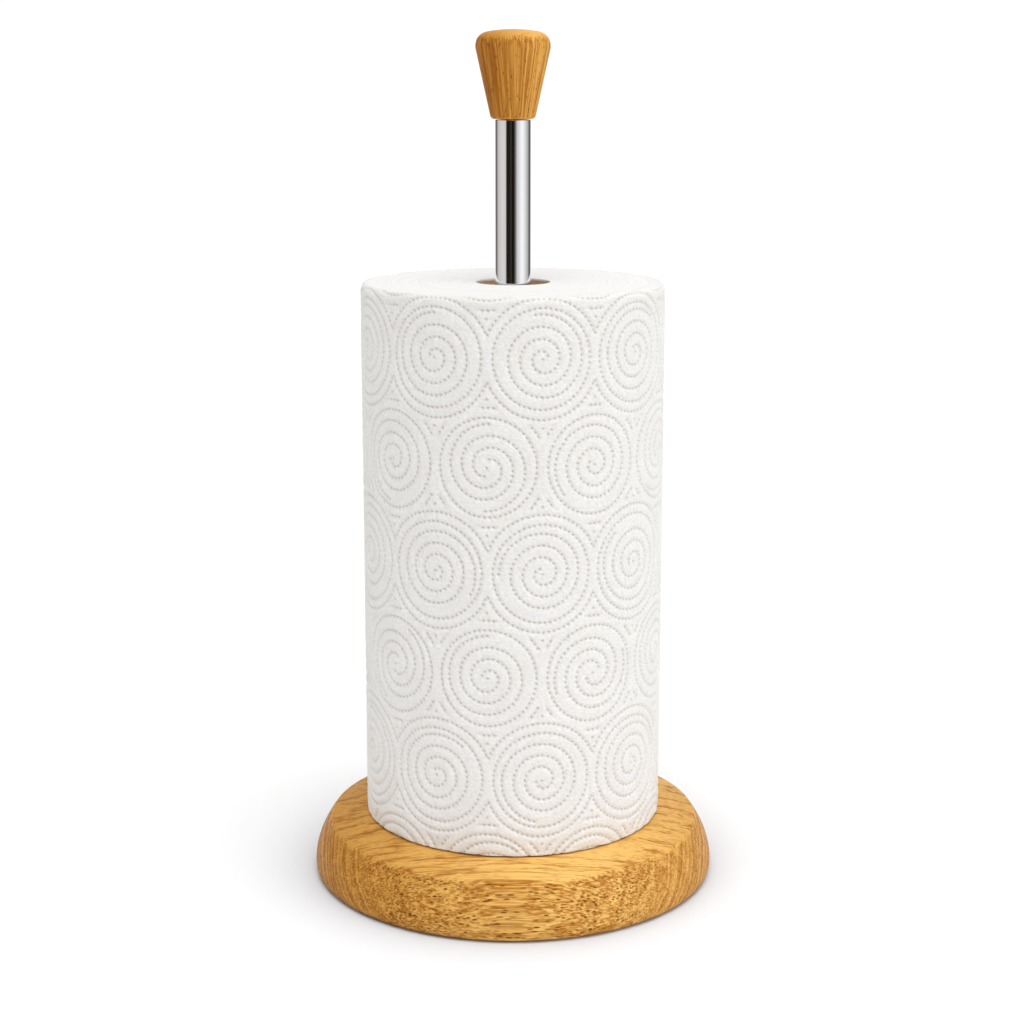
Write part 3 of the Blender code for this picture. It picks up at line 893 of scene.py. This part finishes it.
def make_board():
    """Brown cardboard with long fibres, wound from a strip whose edges show as a helix."""
    board = Recipe("brown_cardboard", Roughness=0.88, Specular_IOR_Level=0.2)
    x, y, z = board.split(board.place)
    turn = board.math("DIVIDE", board.math("ARCTAN2", y, x), math.tau)
    helix = board.math("FRACT", board.math("ADD", board.math("DIVIDE", z, BOARD_STRIP), turn))
    seam = board.ramp(helix, 0.0, 0.02, 1.0, 0.0)
    fibres = board.noise(board.scaled(board.place, 0.9, 0.9, 2.4), 1, 5, 0.7)
    specks = board.noise(board.place, 1.4, 2, 0.8)
    colour = board.blend(board.ramp(fibres, 0.3, 0.7), shade(204, 160, 108), shade(226, 186, 134))
    colour = board.blend(board.ramp(specks, 0.66, 0.74, 0.0, 0.5), colour, shade(122, 78, 44))
    colour = board.blend(board.math("MULTIPLY", seam, 0.6), colour, shade(128, 82, 46))
    normal = board.bump(fibres, 0.06)
    normal = board.bump(seam, -0.15, normal)
    return board.paint(Base_Color=colour, Normal=normal)


def make_metal(name, light, dark, roughness, stroke, depth):
    """Polished or machined metal, with hairlines along the strokes and a faint uneven tone."""
    metal = Recipe(name, Metallic=1.0)
    hairlines = metal.noise(metal.scaled(metal.place, *stroke), 1, 4, 0.7)
    clouds = metal.noise(metal.place, 0.08, 3, 0.6)
    colour = metal.blend(clouds, light, dark)
    finish = metal.math("MULTIPLY_ADD", hairlines, roughness * 0.8, roughness * 0.6)
    finish = metal.math("MULTIPLY_ADD", clouds, roughness * 0.4, finish)
    return metal.paint(Base_Color=colour, Roughness=finish, Normal=metal.bump(hairlines, depth))


def make_rubber():
    """Dark grey moulded rubber with a fine grain and a little dust."""
    rubber = Recipe("pad_rubber", Specular_IOR_Level=0.35)
    grain = rubber.noise(rubber.place, 4.0, 3, 0.6)
    dust = rubber.noise(rubber.place, 0.5, 4, 0.7)
    colour = rubber.blend(rubber.ramp(dust, 0.5, 0.75), shade(38, 38, 40), shade(66, 65, 64))
    roughness = rubber.ramp(dust, 0.3, 0.7, 0.62, 0.82)
    return rubber.paint(Base_Color=colour, Roughness=roughness, Normal=rubber.bump(grain, 0.04))


def refinish(material, *nodes):
    """Gives CAD nodes that stay in view a finished material in place of their plain one."""
    for node in nodes:
        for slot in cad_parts[node].material_slots:
            slot.link = "OBJECT"
            slot.material = material


# Studio


def make_floor():
    """A simple pale sweep that the holder stands on, with a contact shadow painted into its colour
    close to its base.
    """
    half = FLOOR_HALF_WIDTH
    corners = [[(-half, half, 0), (half, half, 0)], [(-half, -half, 0), (half, -half, 0)]]
    floor = surface("floor", np.array(corners))
    white = Recipe("floor_white", Roughness=1.0, Specular_IOR_Level=0.0)
    x, y, _ = white.split(white.place)
    radius = white.math("SQRT", white.math("MULTIPLY_ADD", x, x, white.math("MULTIPLY", y, y)))
    # Painted shadow: the floor's colour darkens towards the base, in place of its contact shadow.
    painted_shadow = white.math("DIVIDE", white.math("SUBTRACT", radius, BASE_RADIUS), -FLOOR_PAINTED_SHADOW_REACH / 3)
    painted_shadow = white.math("MINIMUM", white.math("EXPONENT", painted_shadow), 1.0)
    colour = white.blend(painted_shadow, FLOOR_WHITE, FLOOR_PAINTED_SHADOW)
    floor.data.materials.append(white.paint(Base_Color=colour))


def make_walls():
    """A ring of white and black studio panels that only reflections show."""
    angle = np.arange(WALL_FACETS) * math.tau / WALL_FACETS
    points = np.empty((2, WALL_FACETS, 3))
    points[..., 0] = WALL_RADIUS * np.sin(angle)
    points[..., 1] = -WALL_RADIUS * np.cos(angle)
    points[..., 2] = [[WALL_HEIGHT], [0]]
    walls = surface("studio_walls", points, closed_columns=True)
    for name in ("camera", "diffuse", "transmission", "volume_scatter", "shadow"):
        setattr(walls, "visible_" + name, False)
    panels = Recipe("studio_panels")
    x, y, _ = panels.split(panels.place)
    bearing = panels.math("ARCTAN2", x, panels.math("MULTIPLY", y, -1))
    place = panels.math("MULTIPLY_ADD", bearing, 1 / math.tau, 0.5)
    ramp = panels.add("ValToRGB", {"Fac": place}, "Color")
    stops = ramp.node.color_ramp.elements
    stops.remove(stops[1])
    for number, (degrees, brightness, warmth) in enumerate(WALL_STOPS):
        stop = stops.new(degrees / 360 + 0.5) if number else stops[0]
        red = brightness * (1 + warmth) / WALL_GLOW
        blue = brightness * (1 - warmth) / WALL_GLOW
        stop.color = (red, brightness / WALL_GLOW, blue, 1)
    glow = panels.add("Emission", {"Color": ramp, "Strength": WALL_GLOW})
    output = panels.tree.nodes["Material Output"]
    panels.tree.links.new(glow, output.inputs["Surface"])
    walls.data.materials.append(panels.material)


def make_world():
    """White behind the holder, and a dimmer light on it from all round, stronger from the right."""
    world = bpy.data.worlds.new("studio")
    world.use_nodes = True
    bpy.context.scene.world = world
    nodes, links = world.node_tree.nodes, world.node_tree.links
    direction = nodes.new("ShaderNodeSeparateXYZ")
    links.new(nodes.new("ShaderNodeTexCoord").outputs["Generated"], direction.inputs["Vector"])
    lean = nodes.new("ShaderNodeMapRange")
    lean.inputs["From Min"].default_value = -1
    lean.inputs["To Min"].default_value = FILL_STRENGTH * (1 - FILL_LEAN)
    lean.inputs["To Max"].default_value = FILL_STRENGTH * (1 + FILL_LEAN)
    links.new(direction.outputs["X"], lean.inputs["Value"])
    seen = nodes.new("ShaderNodeLightPath").outputs["Is Camera Ray"]
    strength = nodes.new("ShaderNodeMapRange")
    links.new(lean.outputs["Result"], strength.inputs["To Min"])
    strength.inputs["To Max"].default_value = BACKDROP_STRENGTH
    links.new(seen, strength.inputs["Value"])
    background = nodes["Background"]
    background.inputs["Color"].default_value = (1, 1, 1, 1)
    links.new(strength.outputs["Result"], background.inputs["Strength"])


def make_lamp(name, strength, size, elevation, bearing):
    """A distant soft light. Its bearing turns from the front, -Y, towards the right, +X."""
    lamp = bpy.data.lights.new(name, "SUN")
    lamp.energy = strength
    lamp.angle = size
    level = math.cos(elevation)
    towards = Vector((level * math.sin(bearing), -level * math.cos(bearing), math.sin(elevation)))
    holder = bpy.data.objects.new(name, lamp)
    holder.rotation_euler = towards.to_track_quat("Z", "Y").to_euler()
    bpy.context.scene.collection.objects.link(holder)


def make_camera():
    lens = bpy.data.cameras.new("camera")
    lens.sensor_width = SENSOR
    lens.lens = LENS
    lens.shift_x = SHIFT_RIGHT
    lens.shift_y = SHIFT_UP
    camera = bpy.data.objects.new("camera", lens)
    camera.location = (0, -CAMERA_DISTANCE * MM, CAMERA_Z * MM)
    camera.rotation_euler = (math.pi / 2 - CAMERA_PITCH, 0, 0)
    bpy.context.scene.collection.objects.link(camera)
    bpy.context.scene.camera = camera


# The whole scene

make_camera()
make_floor()
make_walls()
make_world()
make_lamp("key_lamp", *KEY_LAMP)
make_lamp("side_lamp", *SIDE_LAMP)
bpy.context.scene.view_settings.view_transform = "Standard"

base_rim_z = BASE_SEAT_Z - RIM_DROP
base_wood = make_wood(
    "base_wood",
    grain="X",
    pith=BASE_PITH,
    colours=(shade(246, 196, 112), shade(184, 118, 36), shade(132, 76, 16)),
    bend=(2.2, 60, 24),
    fineness=1.0,
    pores=(6.0, 1.25, 0.38, 0.34),
    lightest=(26, 126),
    painted_top_light=(base_rim_z - 2.5, base_rim_z, -0.22, 0.03),
)
knob_wood = make_wood(
    "knob_wood",
    grain="Z",
    pith=KNOB_PITH,
    colours=(shade(240, 182, 92), shade(186, 116, 30), shade(112, 58, 12)),
    bend=(0.7, 40, 9),
    fineness=0.8,
    pores=(5.0, 1.1, 0.24, 0.3),
    lightest=(15, 32),
    painted_top_light=(KNOB_TOP_Z - 6, KNOB_TOP_Z - 1, -0.2, -0.14),
    taper=(KNOB_Z, KNOB_Z + KNOB_WIDEST_Z, KNOB_FOOT_RADIUS / KNOB_RADIUS),
)
chrome = make_metal("chrome", (0.86, 0.86, 0.87, 1), (0.8, 0.8, 0.81, 1), 0.05, (1.5, 1.5, 0.02), 0.001)
zinc = make_metal("zinc_plate", (0.62, 0.62, 0.6, 1), (0.5, 0.5, 0.5, 1), 0.32, (2, 2, 2), 0.02)
brass = make_metal("turned_brass", (0.78, 0.6, 0.3, 1), (0.66, 0.48, 0.2, 1), 0.26, (0.4, 0.4, 5), 0.02)

make_base(base_wood)
make_knob(knob_wood)
make_post(chrome)
make_pads(make_rubber())
make_core(make_board())
make_towels(make_paper())
make_windings(make_edges())
refinish(zinc, "tube_bottom_plug", "tube_top_plug", "knob_stud")
refinish(zinc, "base_bolt", "flat_washer", "spring_washer")
refinish(brass, "knob_insert")
